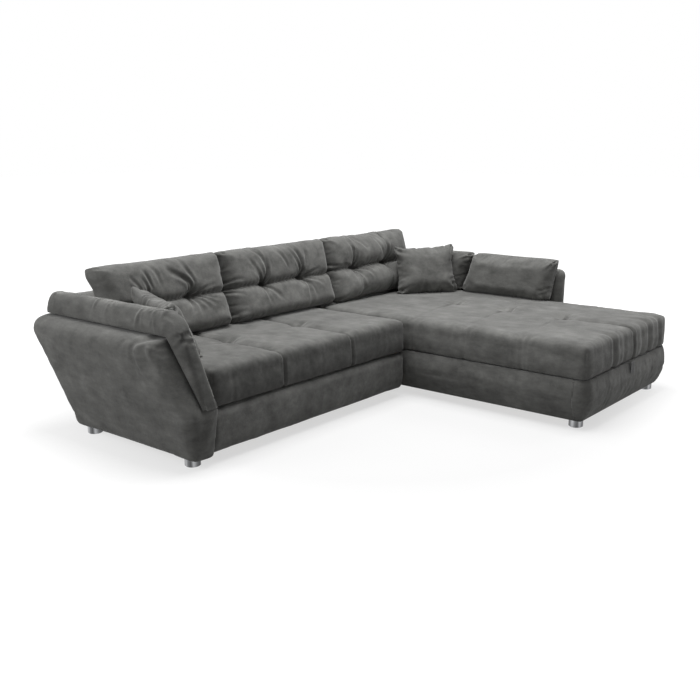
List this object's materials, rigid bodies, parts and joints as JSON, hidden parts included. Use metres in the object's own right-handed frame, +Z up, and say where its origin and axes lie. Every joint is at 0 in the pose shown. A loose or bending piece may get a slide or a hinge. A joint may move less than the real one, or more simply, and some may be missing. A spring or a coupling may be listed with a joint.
{
  "type": "corner sofa bed",
  "caption": "L-shaped upholstered sofa bed with a leaning padded arm, loose cushions, a castored bed drawer under the seat and a long chaise whose lid opens over a storage box.",
  "frame": {"origin": "on the floor under the middle of the sofa's outer box", "axes": "+X from the leaning arm towards the chaise, +Y from the seat towards the back, +Z up"},
  "size_m": [2.7597, 2.0999, 0.7983],
  "materials": {
    "upholstery_fabric": "brushed microfibre, mottled dark grey",
    "pull_webbing": "woven webbing",
    "mattress_cover": "plain cotton ticking",
    "wood_board": "plain birch plywood",
    "polished_metal": "polished",
    "zinc_steel": "zinc plated",
    "black_plastic": "matt",
    "wheel_rubber": "matt",
    "black_paint": "satin"
  },
  "bodies": {
    "sofa": {"main_mattress": "upholstery_fabric", "deck_rails": "wood_board", "deck_slats": "wood_board", "base_end_boards": "wood_board", "main_back": "upholstery_fabric", "back_cushion_left": "upholstery_fabric", "back_cushion_middle": "upholstery_fabric", "back_cushion_right": "upholstery_fabric", "arm_shell": "upholstery_fabric", "arm_pad": "upholstery_fabric", "metal_feet": "polished_metal", "rear_glides": "black_plastic", "drawer_guides": "black_plastic", "section_connectors": "zinc_steel", "chaise_front_panel": "upholstery_fabric", "chaise_left_panel": "upholstery_fabric", "chaise_right_panel": "upholstery_fabric", "storage_boards": "wood_board", "storage_floor": "wood_board", "ledge_frame": "wood_board", "ledge_pad": "upholstery_fabric", "chaise_back": "upholstery_fabric", "side_rest": "upholstery_fabric", "side_rest_spacer": "wood_board", "hinge_leaves_fixed": "zinc_steel", "hinge_pins": "zinc_steel", "spring_brackets_lower": "zinc_steel"},
    "bed_drawer": {"drawer_front_pad": "upholstery_fabric", "drawer_front_board": "wood_board", "drawer_sides": "wood_board", "drawer_back_board": "wood_board", "drawer_floor": "wood_board", "drawer_mattress": "mattress_cover", "castor_forks": "zinc_steel", "castor_axles": "zinc_steel"},
    "wheel_front_left": {"castor_wheel_front_left": "wheel_rubber"},
    "wheel_front_right": {"castor_wheel_front_right": "wheel_rubber"},
    "wheel_rear_left": {"castor_wheel_rear_left": "wheel_rubber"},
    "wheel_rear_right": {"castor_wheel_rear_right": "wheel_rubber"},
    "chaise_lid": {"lid_board": "wood_board", "lid_riser": "zinc_steel", "lid_battens": "wood_board", "chaise_mattress": "upholstery_fabric", "bolster": "upholstery_fabric", "corner_cushion": "upholstery_fabric", "pull_tab": "pull_webbing", "hinge_leaves_moving": "zinc_steel", "spring_brackets_upper": "zinc_steel"},
    "spring_cylinder_left": {"gas_cylinder_left": "black_paint"},
    "spring_cylinder_right": {"gas_cylinder_right": "black_paint"},
    "spring_rod_left": {"gas_rod_left": "zinc_steel"},
    "spring_rod_right": {"gas_rod_right": "zinc_steel"},
    "left_pillow": {"left_throw_pillow": "upholstery_fabric"},
    "right_pillow": {"right_throw_pillow": "upholstery_fabric"}
  },
  "joints": [
    {"name": "drawer_pull", "type": "slide", "parent": "sofa", "child": "bed_drawer", "axis": [0, -1, 0], "range_m": [0, 0.62]},
    {"name": "wheel_front_left_spin", "type": "hinge", "parent": "bed_drawer", "child": "wheel_front_left", "pos_m": [-1.025, 0.229, 0.019], "axis": [1, 0, 0], "range_deg": [0, 1874]},
    {"name": "wheel_front_right_spin", "type": "hinge", "parent": "bed_drawer", "child": "wheel_front_right", "pos_m": [0.055, 0.229, 0.019], "axis": [1, 0, 0], "range_deg": [0, 1874]},
    {"name": "wheel_rear_left_spin", "type": "hinge", "parent": "bed_drawer", "child": "wheel_rear_left", "pos_m": [-1.025, 0.6188, 0.019], "axis": [1, 0, 0], "range_deg": [0, 1874]},
    {"name": "wheel_rear_right_spin", "type": "hinge", "parent": "bed_drawer", "child": "wheel_rear_right", "pos_m": [0.055, 0.6188, 0.019], "axis": [1, 0, 0], "range_deg": [0, 1874]},
    {"name": "lid_hinge", "type": "hinge", "parent": "sofa", "child": "chaise_lid", "pos_m": [0.7535, 0.612, 0.411], "axis": [-1, 0, 0], "range_deg": [0, 28]},
    {"name": "spring_cylinder_left_turn", "type": "hinge", "parent": "sofa", "child": "spring_cylinder_left", "pos_m": [0.307, 0.53064, 0.085], "axis": [-1, 0, 0], "range_deg": [0, 14.5]},
    {"name": "spring_rod_left_turn", "type": "hinge", "parent": "chaise_lid", "child": "spring_rod_left", "pos_m": [0.307, 0.34054, 0.213], "axis": [-1, 0, 0], "range_deg": [-14.5, 0]},
    {"name": "spring_cylinder_right_turn", "type": "hinge", "parent": "sofa", "child": "spring_cylinder_right", "pos_m": [1.2, 0.53064, 0.085], "axis": [-1, 0, 0], "range_deg": [0, 14.5]},
    {"name": "spring_rod_right_turn", "type": "hinge", "parent": "chaise_lid", "child": "spring_rod_right", "pos_m": [1.2, 0.34054, 0.213], "axis": [-1, 0, 0], "range_deg": [-14.5, 0]},
    {"name": "left_pillow_lift", "type": "slide", "parent": "sofa", "child": "left_pillow", "axis": [0, 0, 1], "range_m": [0, 0.35]},
    {"name": "right_pillow_lift", "type": "slide", "parent": "sofa", "child": "right_pillow", "axis": [0, 0, 1], "range_m": [0, 0.2]}
  ],
  "couplings": [
    {"joint": "wheel_front_left_spin", "follows": "drawer_pull", "rad_per_m": 52.632},
    {"joint": "wheel_front_right_spin", "follows": "drawer_pull", "rad_per_m": 52.632},
    {"joint": "wheel_rear_left_spin", "follows": "drawer_pull", "rad_per_m": 52.632},
    {"joint": "wheel_rear_right_spin", "follows": "drawer_pull", "rad_per_m": 52.632},
    {"joint": "spring_cylinder_left_turn", "follows": "lid_hinge", "ratio": 0.5},
    {"joint": "spring_rod_left_turn", "follows": "lid_hinge", "ratio": -0.5},
    {"joint": "spring_cylinder_right_turn", "follows": "lid_hinge", "ratio": 0.5},
    {"joint": "spring_rod_right_turn", "follows": "lid_hinge", "ratio": -0.5},
    {"joint": "right_pillow_lift", "follows": "lid_hinge", "m_per_rad": 0.39}
  ]
}
